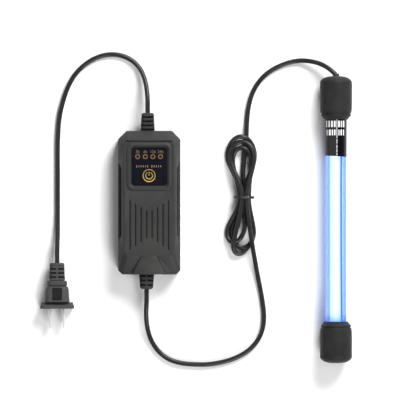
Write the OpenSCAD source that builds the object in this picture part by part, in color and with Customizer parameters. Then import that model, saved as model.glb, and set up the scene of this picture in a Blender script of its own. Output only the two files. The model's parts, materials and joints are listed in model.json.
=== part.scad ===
// Submersible ultraviolet lamp set laid flat on a table: a glass-sleeved lamp, its cord wound
// in a tied hank, a ballast box with a timer panel, and a mains cord with a two-blade plug.
// Millimetres. +Y runs along the box and the lamp, +Z is up. The origin is the centre of the
// box's underside.

/* [Control box] */
// Width of the control box
case_w = 59; // [57:1:64]
// Length of the control box
case_l = 136; // [134:1:146]
// Height of the control box
case_h = 32; // [32:0.5:36]
// Height at which the two case halves meet
split_z = 15; // [14:0.5:16]
// Thickness of the case walls
wall = 2; // [1.6:0.2:2.4]
// Corner cut at the mains end
corner_mains = 8; // [6:1:10]
// Corner cut at the lamp end
corner_lamp = 4; // [3:1:6]
// How far each long side leans in towards the front
lean_side = 5.5; // [4:0.5:7]
// How far the mains end leans in towards the front
lean_mains = 8.5; // [6:0.5:10]
// How far the lamp end leans in towards the front
lean_lamp = 17; // [12:1:18]
// Depth of the finger grip cut into each long side
grip_deep = 3.2; // [2:0.2:3.4]
// Length of a finger grip at its foot
grip_l = 64; // [56:1:70]

/* [Timer panel] */
// Width of the dark panel
panel_w = 33.4; // [32:0.2:35]
// Length of the dark panel
panel_l = 36; // [35:0.5:38]
// Thickness of the dark panel
panel_t = 1.6; // [1.2:0.2:2]
// Position of the panel's centre along the box
panel_y = 34.2; // [32:0.2:36]
// Depth of the panel below the front of the box
panel_sink = 1.2; // [0.8:0.2:1.6]
// Distance between the indicator windows
led_pitch = 7.2; // [6.8:0.1:7.6]
// Diameter of an indicator window
led_d = 2.2; // [1.8:0.1:2.6]
// Diameter of the power button
button_d = 12.4; // [11:0.2:13]

/* [Grooves] */
// Number of grooves on each side of the centre line
groove_pairs = 4; // [2:1:4]
// Distance between two grooves
groove_pitch = 5.2; // [4.6:0.1:5.4]
// Width of a groove
groove_w = 1.2; // [0.8:0.1:1.6]
// Depth of a groove
groove_deep = 0.8; // [0.4:0.1:1.2]

/* [Lamp] */
// Distance from the box's centre line to the lamp's axis
lamp_x = 177; // [170:1:190]
// Outer diameter of the quartz sleeve
sleeve_d = 20; // [19.6:0.1:20.4]
// Thickness of the quartz sleeve
sleeve_t = 1.2; // [1:0.1:1.3]
// Outer diameter of the two rubber caps
cap_d = 30.4; // [29:0.2:32]
// Outer diameter of the inner ultraviolet tube
tube_d = 12; // [11.6:0.1:12.2]
// Diameter of the return wire's insulation
return_d = 1.7; // [1.4:0.1:1.8]

/* [Cords] */
// Outer diameter of both cords
cord_d = 4.5; // [4:0.1:5]
// Height of the hank
hank_h = 14; // [12:1:15]

/* [Hidden] */
$fn = 48;

// Running and fitting clearances
gap = 0.1;
fit = 0.03;

// Control box
upright_z = split_z + 6.5;
mains_exit_x = -1.5;
lamp_exit_x = -2.5;
exit_z = split_z;
neck_d = 10.4;
relief_mains_d = 13.4;
post_d = 6.4;
screw_d = 2.9;
post_x = case_w / 2 - 5;
post_y = case_l / 2 - 14;
window_w = panel_w - 4.4;
window_l = panel_l - 4;
bezel_run = 3.8;
panel_z = case_h - panel_sink - panel_t;
frame_z = panel_z - 2;
frame_w = panel_w + 6.6;
frame_l = panel_l + 7;
grip_y = 1;
grip_z = upright_z - 1;
front_corner = 3.5;
hood_end_w = 33.6;
hood_brow_w = 30.4;
hood_tip_w = 14.4;
hood_l = 18.5;
hood_drop = 6;
groove_top = -7.6;
groove_top_step = 3.2;
groove_bottom = -33.6;
groove_bottom_step = 3.7;
button_y = panel_y - 8.6;
led_y = panel_y + 9.4;
led_count = 4;

// Boards
board_w = 50;
board_l = 98;
board_t = 1.6;
board_z = 6;
parts_z = board_z + board_t;
timer_w = 38;
timer_l = 42;
timer_z = 21.8;
timer_top = timer_z + board_t;
timer_post_x = timer_w / 2 - 2;
timer_post_y = timer_l / 2 - 2.5;
board_post_x = 20;
board_post_y = 44;

// Lamp: places along +Y
lamp_z = cap_d / 2;
cap_top = 119.9;
cap_lip = 78.8;
label_end = 44;
foot_lip = -112.6;
foot_end = -152;
sleeve_top = 108;
sleeve_bottom = -140;
tube_top = 82;
tube_bottom = -124;
base_l = 10;
base_d = tube_d + 0.6;
pin_d = 1.4;
pin_x = 2.4;
chamber_end = 116;
gland_end = 122.4;
gland_d = 6.2;
core_d = 1.7;
return_x = 5;
return_z = 5.4;

bung_start = 102;
bung_end = 111;
splice_start = 92.2;
splice_end = 99;
upper_ring_y = 64;
lower_ring_y = -118;

// Plug: places along +Y, widths and depths
plug_x = -87.4;
plug_z = 9;
plug_start = -57;
plug_relief_l = 17;
plug_collar = -73;
plug_shoulder = -78.8;
plug_waist = -81;
plug_foot = -94;
plug_flange = -94.8;
plug_end = -100.6;
plug_flange_w = 32;
plug_corner = 5;
recess_y = -86.8;
recess_w = 9;
recess_l = 11.8;
recess_floor = 7.2;
blade_pitch = 12.7;
blade_t = 1.5;
blade_w = 6.35;
blade_l = 18;

// Hank: places of its round ends
hank_top = [86.7, 49.6];
hank_top_r = 14.6;
hank_waist = [89.9, 5];
hank_waist_r = 7;
hank_left = [83, -28];
hank_right = [91.6, -27];
hank_low_r = 11;
hank_tail = [84, -43.4];
hank_tail_r = 6.6;
tie_w = 3;
tie_t = 1;

// Cord routes, from where each leaves its housing to its other end
lie = cord_d / 2 + 0.05;
cord_sides = 10;
mains_route = [
    [-1.5, 85, 15], [-1.5, 97, 13.8], [-2.5, 109, 10], [-5.5, 121, 6], [-12, 131.5, 3.4],
    [-22.5, 138.5, lie], [-34.5, 141, lie], [-47, 139, lie], [-58, 133.5, lie],
    [-67.5, 125.5, lie], [-74.5, 115.5, lie], [-79.5, 104, lie], [-83, 92, lie],
    [-85.5, 80, lie], [-86.5, 67.5, lie], [-87, 55, lie], [-87, 42.5, lie], [-87, 30, lie],
    [-87, 17.5, lie], [-87, 5, lie], [-87, -7.5, lie], [-87, -20, 3], [-87, -32.5, 5.4],
    [-87.4, -45, 8], [-87.4, -57, 9]
];
lower_route = [
    [-2.5, -82, 15], [-2.5, -94, 13.8], [-3, -106, 10], [-2, -118, 6], [1.5, -130, 3.4],
    [8.5, -141, lie], [19, -149, lie], [31, -152.5, lie], [43.5, -153.5, lie],
    [56, -153.5, lie], [68.5, -151.5, lie], [80.5, -148, lie], [92, -142, lie],
    [101, -133.5, lie], [107, -122.5, lie], [109, -110, lie], [108, -97.5, lie],
    [106, -85, lie], [103.5, -72.5, 3], [101.2, -60, 4.9], [99, -48, 7.3], [97.2, -36, 9.2]
];
upper_route = [
    [92, 60, lie], [92.5, 74, lie], [93.5, 86.5, lie], [96, 99, lie], [101, 110.5, lie],
    [109, 120.5, lie], [119, 127.5, lie], [130.5, 132.5, lie], [142.5, 135, 3.3],
    [154.5, 134, 6.6], [165, 130.5, 11], [172, 126, 14], [176.5, 121.6, 15.2]
];

// ---------- helpers ----------

function unit(v) = v / norm(v);

// Direction of a route at point i
function heading(route, i) =
    let (a = route[max(i - 1, 0)], b = route[min(i + 1, len(route) - 1)]) unit(b - a);

// One ring of a swept tube, at right angles to the route. The route never runs along aside.
function ring(route, i, r, sides, aside) =
    let (
        along = heading(route, i),
        side = unit(cross(along, aside)),
        up = cross(side, along)
    )
    [for (k = [0:sides - 1]) route[i] + r * (cos(360 * k / sides) * side + sin(360 * k / sides) * up)];

// A closed tube of diameter d along a route
module swept_tube(route, d, sides, aside = [0, 0, 1]) {
    rings = len(route);
    points = [for (i = [0:rings - 1]) each ring(route, i, d / 2, sides, aside)];
    skin = [
        for (i = [0:rings - 2], k = [0:sides - 1])
            let (n = (k + 1) % sides)
            [i * sides + k, (i + 1) * sides + k, (i + 1) * sides + n, i * sides + n]
    ];
    start = [[for (k = [0:sides - 1]) k]];
    finish = [[for (k = [sides - 1:-1:0]) (rings - 1) * sides + k]];
    polyhedron(points = points, faces = concat(start, skin, finish));
}

// A round rod from point a to point b
module rod(a, b, d) {
    v = b - a;
    translate(a)
        rotate([0, acos(v.z / norm(v)), atan2(v.y, v.x)])
            cylinder(d = d, h = norm(v), $fn = 20);
}

// An insulated wire with round elbows
module wire(points, d) {
    for (i = [0:len(points) - 2]) rod(points[i], points[i + 1], d);
    for (i = [1:len(points) - 2]) translate(points[i]) sphere(d = d, $fn = 20);
}

module box(w, l, h, x = 0, y = 0, z = 0) {
    translate([x - w / 2, y - l / 2, z]) cube([w, l, h]);
}

// A rectangle with round corners, centred
module rounded_plate(w, l, r) {
    polygon([
        for (corner = [0:3], step = [0:5])
            let (
                a = corner * 90 + step * 18,
                x = (corner == 0 || corner == 3) ? 1 : -1,
                y = corner < 2 ? 1 : -1
            )
            [x * (w / 2 - r) + r * cos(a), y * (l / 2 - r) + r * sin(a)]
    ]);
}

// Places its children on the four corners of a rectangle
module corners(x, y) {
    for (i = [-1, 1], j = [-1, 1]) translate([i * x, j * y, 0]) children();
}

// ---------- control box ----------

// Plan of the box where it is widest, drawn in by inset
module case_plan(inset = 0) {
    w = case_w / 2 - inset;
    l = case_l / 2 - inset;
    m = corner_mains - inset / 2;
    s = corner_lamp - inset / 2;
    polygon([
        [-w + m, l], [w - m, l], [w, l - m], [w, -l + s],
        [w - s, -l], [-w + s, -l], [-w, -l + s], [-w, l - m]
    ]);
}

// Plan of the flat front
module front_plan(inset = 0) {
    w = case_w / 2 - lean_side - inset;
    m = case_l / 2 - lean_mains - inset;
    s = case_l / 2 - lean_lamp - inset;
    c = front_corner;
    polygon([
        [-w + c, m], [w - c, m], [w, m - c], [w, -s + c],
        [w - c, -s], [-w + c, -s], [-w, -s + c], [-w, m - c]
    ]);
}

// A thin bar across the box at one corner of the hood
module hood_corner(w, y, z) {
    box(w, 0.5, 0.5, 0, -case_l / 2 + y, z);
}

// The upper half's form, drawn in by inset, with the hood over the lamp cord's exit
module lid_form(inset = 0) {
    hull() {
        translate([0, 0, split_z]) linear_extrude(upright_z - split_z) case_plan(inset);
        translate([0, 0, case_h - inset - 0.5]) linear_extrude(0.5) front_plan(inset);
    }
    hull() {
        hood_corner(hood_end_w - 2 * inset, 0.5 + inset, split_z);
        hood_corner(hood_brow_w - 2 * inset, 0.5 + inset, case_h - hood_drop - inset - 0.5);
        hood_corner(hood_tip_w - 2 * inset, hood_l, case_h - inset - 0.5);
        hood_corner(hood_end_w - 2 * inset, hood_l, split_z);
    }
}

// Plan of the two finger grips, with slanting ends, moved towards the middle by shift
module grip_plan(shift = 0) {
    foot = case_w / 2 - grip_deep - shift;
    mouth = case_w / 2 + 1;
    half = grip_l / 2 + shift;
    run = 1.8 * (mouth - foot);
    for (side = [-1, 1])
        translate([0, grip_y])
            polygon([
                [side * foot, -half], [side * mouth, -half - run],
                [side * mouth, half + run], [side * foot, half]
            ]);
}

// The round holes that grip the strain reliefs, half in each shell
module cord_exits() {
    for (e = [[mains_exit_x, 1], [lamp_exit_x, -1]])
        translate([e.x, e.y * (case_l / 2 - wall / 2), exit_z])
            rotate([90, 0, 0]) cylinder(d = neck_d + 2 * gap, h = wall + 2, center = true);
}

module case_base() {
    color("#3c3c3c") difference() {
        union() {
            difference() {
                linear_extrude(split_z) case_plan();
                translate([0, 0, wall]) linear_extrude(split_z) case_plan(wall);
            }
            corners(post_x, post_y) cylinder(d = post_d, h = split_z);
            corners(board_post_x, board_post_y) cylinder(d = 6, h = board_z);
        }
        cord_exits();
        corners(post_x, post_y) {
            translate([0, 0, -1]) cylinder(d = 5.8, h = 3.6);
            cylinder(d = screw_d + 0.3, h = split_z + 1);
        }
        corners(board_post_x, board_post_y)
            translate([0, 0, wall]) cylinder(d = 2.6, h = board_z);
    }
}

// The window's sloping surround, its seat for the panel, and the hole behind it
module panel_pocket() {
    translate([0, panel_y, 0]) {
        hull() {
            translate([0, 0, case_h - panel_sink])
                linear_extrude(0.01) rounded_plate(panel_w + 0.2, panel_l + 0.2, 3);
            translate([0, 0, case_h + 0.01])
                linear_extrude(0.01)
                    rounded_plate(panel_w + 2 * bezel_run, panel_l + 2 * bezel_run, 5);
        }
        translate([0, 0, panel_z])
            linear_extrude(panel_t + 1) rounded_plate(panel_w + 0.2, panel_l + 0.2, 3);
        box(window_w, window_l, case_h, 0, 0, frame_z - 1);
    }
}

// Slots that deepen from the centre outwards in a chevron
module front_grooves() {
    for (side = [-1, 1], i = [0:groove_pairs - 1]) {
        top = groove_top + groove_top_step * i;
        bottom = groove_bottom - groove_bottom_step * i;
        box(groove_w, top - bottom, groove_deep + 1, side * (i + 0.5) * groove_pitch,
            (top + bottom) / 2, case_h - groove_deep);
    }
}

module case_top() {
    color("#484848") difference() {
        union() {
            difference() {
                lid_form();
                difference() {
                    union() {
                        lid_form(wall);
                        linear_extrude(upright_z - 3) case_plan(wall);
                    }
                    box(frame_w, frame_l, case_h, 0, panel_y, frame_z);
                    translate([0, 0, split_z]) linear_extrude(case_h) grip_plan(wall);
                }
            }
            translate([0, 0, split_z]) corners(post_x, post_y) cylinder(d = post_d, h = 6);
            translate([0, panel_y, timer_top])
                corners(timer_post_x, timer_post_y) cylinder(d = 3.6, h = frame_z - timer_top + 0.5);
        }
        cord_exits();
        panel_pocket();
        front_grooves();
        translate([0, 0, grip_z]) linear_extrude(case_h) grip_plan();
        corners(post_x, post_y) translate([0, 0, split_z - 1]) cylinder(d = screw_d + gap, h = 6);
        translate([0, panel_y, timer_top - 1])
            corners(timer_post_x, timer_post_y) cylinder(d = 1.7, h = 4);
    }
}

// A pan-head screw standing on its head, with a cross recess
module screw(shank_d, head_d, head_h, shank_l) {
    difference() {
        union() {
            cylinder(d = head_d, h = head_h);
            cylinder(d = shank_d, h = head_h + shank_l);
        }
        box(head_d * 0.6, head_d * 0.16, head_h, 0, 0, -head_h / 2);
        box(head_d * 0.16, head_d * 0.6, head_h, 0, 0, -head_h / 2);
    }
}

module case_screws() {
    color("#8d8f92") corners(post_x, post_y) translate([0, 0, 0.6]) screw(screw_d, 5.4, 2, 16.5);
}

module control_panel() {
    color("#1b1c24") translate([0, panel_y, panel_z]) difference() {
        linear_extrude(panel_t) rounded_plate(panel_w, panel_l, 2.9);
        translate([0, button_y - panel_y, -1]) cylinder(d = button_d + 0.5, h = panel_t + 2);
        for (i = [0:led_count - 1])
            translate([(i - 1.5) * led_pitch, led_y - panel_y, -1])
                cylinder(d = led_d + gap, h = panel_t + 2, $fn = 24);
    }
}

// One clear moulding: a bar under the panel with a rod up to each window
module light_guide() {
    color("#e8e2c8") {
        box(window_w - 3, 4.2, 1.2, 0, led_y, panel_z - 1.2);
        for (i = [0:led_count - 1])
            translate([(i - 1.5) * led_pitch, led_y, timer_top + 1.6])
                cylinder(d = led_d, h = panel_z + panel_t + 0.15 - timer_top - 1.6, $fn = 24);
    }
}

button_flange_z = panel_z - 1.2;
module power_button() {
    color("#22232b") translate([0, button_y, button_flange_z]) {
        cylinder(d = button_d + 2.4, h = 0.9);
        cylinder(d = button_d, h = panel_t + 1.5);
    }
}

plunger_d = 3.4;
switch_h = 3.4;
module switch_plunger() {
    color("#b8b8b8") translate([0, button_y, timer_top + 1.6])
        cylinder(d = plunger_d, h = button_flange_z - timer_top - 1.6);
}

module tact_switch() {
    color("#2a2a2a") difference() {
        box(6, 6, switch_h, 0, button_y, timer_top);
        translate([0, button_y, timer_top + 1]) cylinder(d = plunger_d + 0.2, h = switch_h);
    }
    color("#c9c9c9") for (i = [-1, 1], j = [-1, 1])
        box(1, 0.8, 0.5, i * 3.5, button_y + j * 2, timer_top);
}

module timer_board() {
    color("#1f6b3a") translate([0, panel_y, timer_z]) difference() {
        box(timer_w, timer_l, board_t);
        corners(timer_post_x, timer_post_y)
            translate([0, 0, -1]) cylinder(d = 2, h = board_t + 2, $fn = 24);
    }
}

module timer_board_screws() {
    color("#9a9a9a") translate([0, panel_y, timer_z - 1.2])
        corners(timer_post_x, timer_post_y) screw(1.6, 3, 1.2, board_t + 2.4, $fn = 24);
}

module timer_leds() {
    color("#f4f0d8") for (i = [0:led_count - 1])
        box(2, 1.25, 0.8, (i - 1.5) * led_pitch, led_y, timer_top);
}

// A flat chip with a row of legs along both sides
module timer_chip() {
    color("#1a1a1a") box(4, 8.6, 1.4, -7, panel_y + 1, timer_top + 0.15);
    color("#c9c9c9") for (side = [-1, 1], i = [0:6])
        box(1.1, 0.4, 0.5, -7 + side * 2.5, panel_y - 2.8 + i * 1.27, timer_top);
}

module board_header() {
    color("#1a1a1a") box(13, 2.5, 2.5, 9, 15.5, parts_z);
    color("#c8a850") for (i = [0:4])
        box(0.64, 0.64, timer_z - parts_z, 9 + (i - 2) * 2.54, 15.5, parts_z);
}

module main_board() {
    color("#a87b2e") difference() {
        box(board_w, board_l, board_t, 0, 0, board_z);
        corners(board_post_x, board_post_y)
            translate([0, 0, board_z - 1]) cylinder(d = 3, h = board_t + 2, $fn = 24);
    }
}

module main_board_screws() {
    color("#9a9a9a") corners(board_post_x, board_post_y)
        translate([0, 0, parts_z + 1.6]) mirror([0, 0, 1]) screw(2.4, 4.6, 1.6, board_t + 3, $fn = 24);
}

// A round part lying on its two bent leads, along X or along Y
module axial_part(x, y, d, l, lead_d, turn = 0) {
    rise = d / 2 + 0.8;
    reach = l / 2 + 1.5;
    translate([x, y, parts_z]) rotate([0, 0, turn]) {
        rod([-l / 2, 0, rise], [l / 2, 0, rise], d);
        wire([[-reach, 0, 0], [-reach, 0, rise], [reach, 0, rise], [reach, 0, 0]], lead_d);
    }
}

module line_fuse() {
    color("#d9d0b0") axial_part(10, 44.5, 3.2, 9, 0.7);
}

module emi_choke() {
    color("#b5651d") translate([-16, 37, parts_z + 4.2])
        rotate_extrude() translate([4.3, 0]) circle(r = 2.2);
    color("#2d2d2d") translate([-16, 37, parts_z]) difference() {
        cylinder(d = 11, h = 2.2);
        translate([0, 0, -1]) cylinder(d = 4.4, h = 4);
    }
}

module rectifier_diodes() {
    color("#202020") for (i = [0:3]) axial_part(2 + 4.6 * i, 33, 2.7, 5.2, 0.8, 90);
}

module bulk_capacitor() {
    color("#2b3a67") translate([-13.5, 9, parts_z + 6.4]) rotate([-90, 0, 0]) cylinder(d = 12.6, h = 18);
    color("#c9c9c9") for (x = [-16, -11])
        wire([[x, 27, parts_z + 6.4], [x, 29, parts_z + 6.4], [x, 29, parts_z]], 0.8);
}

module timer_relay() {
    color("#2456a8") box(15.4, 18.6, 14.8, 14, 1.5, parts_z + 0.4);
    color("#c9c9c9") four_legs(14, 1.5, 5, 7);
}

// Four short legs under a part
module four_legs(x, y, dx, dy) {
    translate([x, y, parts_z]) corners(dx, dy) cylinder(d = 1, h = 0.5, $fn = 16);
}

module film_capacitors() {
    color("#a3262a") for (y = [3, -6, -15]) box(13, 5.4, 11, -15.5, y, parts_z + 0.4);
    color("#c9c9c9") for (y = [3, -6, -15], x = [-5, 5])
        translate([-15.5 + x, y, parts_z]) cylinder(d = 0.8, h = 0.5, $fn = 16);
}

module switching_transistors() {
    for (y = [-18, -32]) {
        color("#1c1c1c") difference() {
            box(3, 8, 11, 19, y, parts_z + 3);
            translate([17, y, parts_z + 11]) rotate([0, 90, 0]) cylinder(d = 3.2, h = 4);
        }
        color("#c9c9c9") for (i = [-1:1]) box(0.5, 0.8, 3, 19, y + i * 2.3, parts_z);
    }
}

// Two E halves closed around the winding
core_leg = 7;
module inductor_core() {
    color("#3a3a3a") translate([-2, -34, parts_z]) difference() {
        box(24, core_leg, 19);
        for (side = [-1, 1]) box(5, core_leg + 2, 12, side * (core_leg / 2 + 2.5), 0, 3.5);
    }
}

module inductor_winding() {
    color("#c98b2c") translate([-2, -34, parts_z + 3.7]) difference() {
        box(core_leg + 9.2, core_leg + 9.2, 11.6);
        box(core_leg + 0.2, core_leg + 0.2, 14, 0, 0, -1);
    }
}

module resistors() {
    color("#c8b48a") {
        for (i = [0:2]) axial_part(2, -3.5 - 4 * i, 1.8, 4, 0.5);
        for (i = [0:1]) axial_part(19, -10 - 3 * i, 1.8, 4, 0.5);
    }
}

// Two insulated cores from a strain relief's inner end to the board
module board_leads(x, end) {
    for (side = [-1, 1])
        swept_tube([
            [x + side * 1.4, end * (case_l / 2 - 4.5), exit_z],
            [x + side * 1.6, end * (case_l / 2 - 9), exit_z - 0.4],
            [x + side * 2.2, end * (case_l / 2 - 15), exit_z - 2],
            [x + side * 2.8, end * (board_l / 2 - 3.6), exit_z - 4.2],
            [x + side * 2.8, end * (board_l / 2 - 3), exit_z - 5.6],
            [x + side * 2.8, end * (board_l / 2 - 3), parts_z]
        ], 1.6, 8, [1, 0, 0]);
}

module mains_leads() {
    color("#7a4a20") board_leads(mains_exit_x, 1);
}

module lamp_leads() {
    color("#2f5fae") board_leads(lamp_exit_x, -1);
}

// A moulded strain relief standing along +Z from the case wall: an inner flange, a neck in
// the wall, and a ribbed taper whose slots leave a spine in the middle
module strain_relief(d_case, d_cord, l, slots) {
    pitch = (l - 3) / slots;
    translate([0, 0, -wall - 2.4]) cylinder(d = neck_d + 2.4, h = 2.3);
    translate([0, 0, -wall - 0.2]) cylinder(d = neck_d, h = wall + 0.4);
    difference() {
        rotate_extrude() polygon([
            [0, 0.05], [d_case / 2, 0.05], [d_cord / 2, l - 1.5], [d_cord / 2 - 1.5, l], [0, l]
        ]);
        for (i = [0:slots - 1], side = [-1, 1], up = [-1, 1])
            translate([side * (d_case / 4 + 0.7), up * d_case / 2, 2 + i * pitch])
                cube([d_case / 2, 5, 1.4], center = true);
    }
}

module mains_strain_relief() {
    color("#2e2e2e") translate([mains_exit_x, case_l / 2, exit_z]) rotate([-90, 0, 0])
        strain_relief(relief_mains_d, 11.8, 17, 4);
}

module lamp_strain_relief() {
    color("#2e2e2e") translate([lamp_exit_x, -case_l / 2, exit_z]) rotate([90, 0, 0])
        strain_relief(14.2, 12.2, 14, 3);
}

// ---------- lamp ----------

// A round part of the lamp from its half section: [radius, place along +Y]
module lamp_turned(section) {
    translate([lamp_x, 0, lamp_z]) rotate([-90, 0, 0]) rotate_extrude() polygon(section);
}

module lamp_rod(y0, y1, d) {
    translate([lamp_x, y0, lamp_z]) rotate([-90, 0, 0]) cylinder(d = d, h = y1 - y0);
}

cap_r = cap_d / 2;
sleeve_r = sleeve_d / 2;
dome_r = 7;
function dome(y, way) =
    [for (a = [0:15:90]) [cap_r - dome_r + dome_r * cos(a), y + way * (dome_r * sin(a) - dome_r)]];

module upper_cap() {
    color("#2d2d2d") lamp_turned(concat(
        [
            [sleeve_r + fit, cap_lip], [sleeve_r + 1, cap_lip],
            [cap_r - 0.6, cap_lip + 4.4], [cap_r, cap_lip + 5.6]
        ],
        dome(cap_top, 1),
        [[gland_d / 2 + fit, cap_top], [gland_d / 2 + fit, chamber_end], [sleeve_r + fit, chamber_end]]
    ));
}

module lower_cap() {
    color("#2d2d2d") lamp_turned(concat(
        [
            [sleeve_r + fit, foot_lip], [sleeve_r + 1, foot_lip],
            [cap_r - 0.6, foot_lip - 3.4], [cap_r, foot_lip - 4.6]
        ],
        dome(foot_end, -1),
        [[0, foot_end], [0, sleeve_bottom - fit], [sleeve_r + fit, sleeve_bottom - fit]]
    ));
}

module cable_gland() {
    color("#262626") lamp_turned([
        [0, chamber_end], [gland_d / 2, chamber_end], [gland_d / 2, gland_end - 0.8],
        [gland_d / 2 - 0.8, gland_end], [0, gland_end]
    ]);
}

// Places along the lamp's axis of the return wire and of the live core
return_at = [lamp_x + return_x, lamp_z + return_z];
core_at = [lamp_x - pin_x, lamp_z];

module sealing_bung() {
    bung_r = sleeve_r - sleeve_t;
    color("#b9b4a8") difference() {
        lamp_turned([
            [0, bung_start], [bung_r - fit, bung_start], [bung_r - fit, sleeve_top + fit],
            [sleeve_r, sleeve_top + fit], [sleeve_r, bung_end], [0, bung_end]
        ]);
        for (p = [return_at, core_at])
            translate([p.x, bung_start - 1, p.y]) rotate([-90, 0, 0])
                cylinder(d = core_d + 0.1, h = bung_end - bung_start + 2, $fn = 24);
    }
}

// The live core's end piece between the gland and the splice
module lead_cores() {
    color("#7a4a20") swept_tube([
        [core_at.x, 93.5, core_at.y], [core_at.x, 111.5, core_at.y],
        [lamp_x - 1.6, 113.5, lamp_z], [lamp_x - 1.2, chamber_end - 1, lamp_z],
        [lamp_x - 1.2, chamber_end - fit, lamp_z]
    ], core_d, 8);
}

module wire_splice() {
    color("#c0392b") difference() {
        rod([core_at.x, splice_start, core_at.y], [core_at.x, splice_end, core_at.y], 3);
        rod([core_at.x, splice_start - 1, core_at.y], [core_at.x, splice_end + 1, core_at.y], core_d + 0.1);
    }
}

module quartz_sleeve() {
    inner = sleeve_r - sleeve_t;
    color([0.62, 0.74, 1, 0.4]) lamp_turned([
        [inner, sleeve_top], [sleeve_r, sleeve_top], [sleeve_r, sleeve_bottom + 2],
        [sleeve_r - 2, sleeve_bottom], [0, sleeve_bottom], [0, sleeve_bottom + sleeve_t],
        [inner - 1.2, sleeve_bottom + sleeve_t], [inner, sleeve_bottom + sleeve_t + 1.2]
    ]);
}

module label_wrap() {
    color("#141414") lamp_turned([
        [sleeve_r + fit, label_end], [sleeve_r + 0.25, label_end],
        [sleeve_r + 0.25, cap_lip - fit], [sleeve_r + fit, cap_lip - fit]
    ]);
}

// A soft ring that centres the tube in the sleeve, notched for the return wire
module spacer_ring(y) {
    color("#e6e3dc") difference() {
        lamp_turned([
            [tube_d / 2 + fit, y - 2], [sleeve_r - sleeve_t - fit, y - 2],
            [sleeve_r - sleeve_t - fit, y + 2], [tube_d / 2 + fit, y + 2]
        ]);
        translate([return_at.x, y - 3, return_at.y]) rotate([-90, 0, 0])
            cylinder(d = return_d + 0.3, h = 6, $fn = 24);
    }
}

module upper_spacer_ring() {
    spacer_ring(upper_ring_y);
}

module lower_spacer_ring() {
    spacer_ring(lower_ring_y);
}

// The sealed ultraviolet tube, hollow, with closed ends
module uv_tube() {
    r = tube_d / 2;
    color([0.85, 0.95, 1, 0.7]) difference() {
        lamp_rod(tube_bottom, tube_top, tube_d);
        lamp_turned([
            [0, tube_bottom + 3], [r - 2, tube_bottom + 3], [r - 1, tube_bottom + 4],
            [r - 1, tube_top - 4], [r - 2, tube_top - 3], [0, tube_top - 3]
        ]);
    }
}

module upper_lamp_base() {
    color("#e9e6df") lamp_rod(tube_top + fit, tube_top + base_l, base_d);
}

module lower_lamp_base() {
    color("#e9e6df") lamp_rod(tube_bottom - base_l, tube_bottom - fit, base_d);
}

module lamp_pins() {
    upper = tube_top + base_l;
    lower = tube_bottom - base_l;
    color("#c9b26a") for (x = [lamp_x - pin_x, lamp_x + pin_x]) {
        rod([x, upper, lamp_z], [x, upper + 1.4, lamp_z], pin_d);
        rod([x, lower - 4, lamp_z], [x, lower, lamp_z], pin_d);
    }
}

// A coil across the end of the tube on two lead-in wires
module filament(y, way) {
    for (x = [-2, 2])
        rod([lamp_x + x, y, lamp_z], [lamp_x + x, y + way * 7, lamp_z], 0.6);
    rod([lamp_x - 2.6, y + way * 7, lamp_z], [lamp_x + 2.6, y + way * 7, lamp_z], 1.4);
}

module filaments() {
    color("#d8d2c0") {
        filament(tube_top - 3, -1);
        filament(tube_bottom + 3, 1);
    }
}

module return_wire() {
    color("#3157d6") swept_tube([
        [lamp_x + 1.2, chamber_end - fit, lamp_z + 0.8], [lamp_x + 1.2, 114.8, lamp_z + 0.8],
        [lamp_x + 2.8, 113, lamp_z + 2.8],
        [return_at.x, 111.6, return_at.y], [return_at.x, 104, return_at.y],
        [return_at.x, -132, return_at.y], [return_at.x, -135.2, return_at.y - 0.1],
        [lamp_x + pin_x + 0.2, -136.8, lamp_z + 1.7]
    ], return_d, 8);
}

// ---------- cords and plug ----------

module mains_cord() {
    color("#1d1d1d") swept_tube(mains_route, cord_d, cord_sides);
}

module lamp_cord_lower() {
    color("#1d1d1d") swept_tube(lower_route, cord_d, cord_sides);
}

module lamp_cord_upper() {
    color("#1d1d1d") swept_tube(upper_route, cord_d, cord_sides);
}

module hank_plan() {
    hull() {
        translate(hank_top) circle(r = hank_top_r);
        translate(hank_waist) circle(r = hank_waist_r);
    }
    hull() {
        translate(hank_waist) circle(r = hank_waist_r);
        translate(hank_left) circle(r = hank_low_r);
        translate(hank_right) circle(r = hank_low_r);
        translate(hank_tail) circle(r = hank_tail_r);
    }
}

module cord_hank() {
    color("#1d1d1d") difference() {
        linear_extrude(hank_h) hank_plan();
        translate([hank_waist.x, hank_waist.y, -1]) difference() {
            box(30, tie_w + 0.2, hank_h + 2);
            box(2 * hank_waist_r - 1, tie_w + 1, hank_h - 2 * tie_t, 0, 0, tie_t + 1);
        }
    }
}

// A band around the waist with its two ends twisted together at one side
module hank_tie() {
    w = 2 * hank_waist_r - 1 + 2 * fit;
    color("#101010") translate([hank_waist.x, hank_waist.y, 0]) {
        difference() {
            box(w + 2 * tie_t, tie_w, hank_h);
            box(w, tie_w + 2, hank_h - 2 * tie_t + 2 * fit, 0, 0, tie_t - fit);
        }
        for (y = [-0.8, 0.8])
            rod([w / 2 + tie_t / 2, y, hank_h - 3.4], [w / 2 + tie_t + 2.6, -y, hank_h - 3], 1.6);
    }
}

// A slice of the plug, w wide, h deep and l long, from y towards the blades
module plug_slice(y, w, h, l = 1) {
    translate([0, y, 0]) rotate([90, 0, 0]) linear_extrude(l) rounded_plate(w, h, plug_corner);
}

// The plug's ribbed strain relief, with three slots on each side of a spine, front and back
module plug_relief() {
    rotate([90, 0, 0]) translate([0, 0, -plug_start]) difference() {
        linear_extrude(plug_relief_l, scale = 1.07) rounded_plate(14, 10.6, 4);
        for (i = [0:2], side = [-1, 1], face = [-1, 1])
            translate([side * 4.2, face * 5.6, 5.4 + 3.9 * i]) cube([6.6, 2.4, 1.6], center = true);
    }
}

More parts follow.
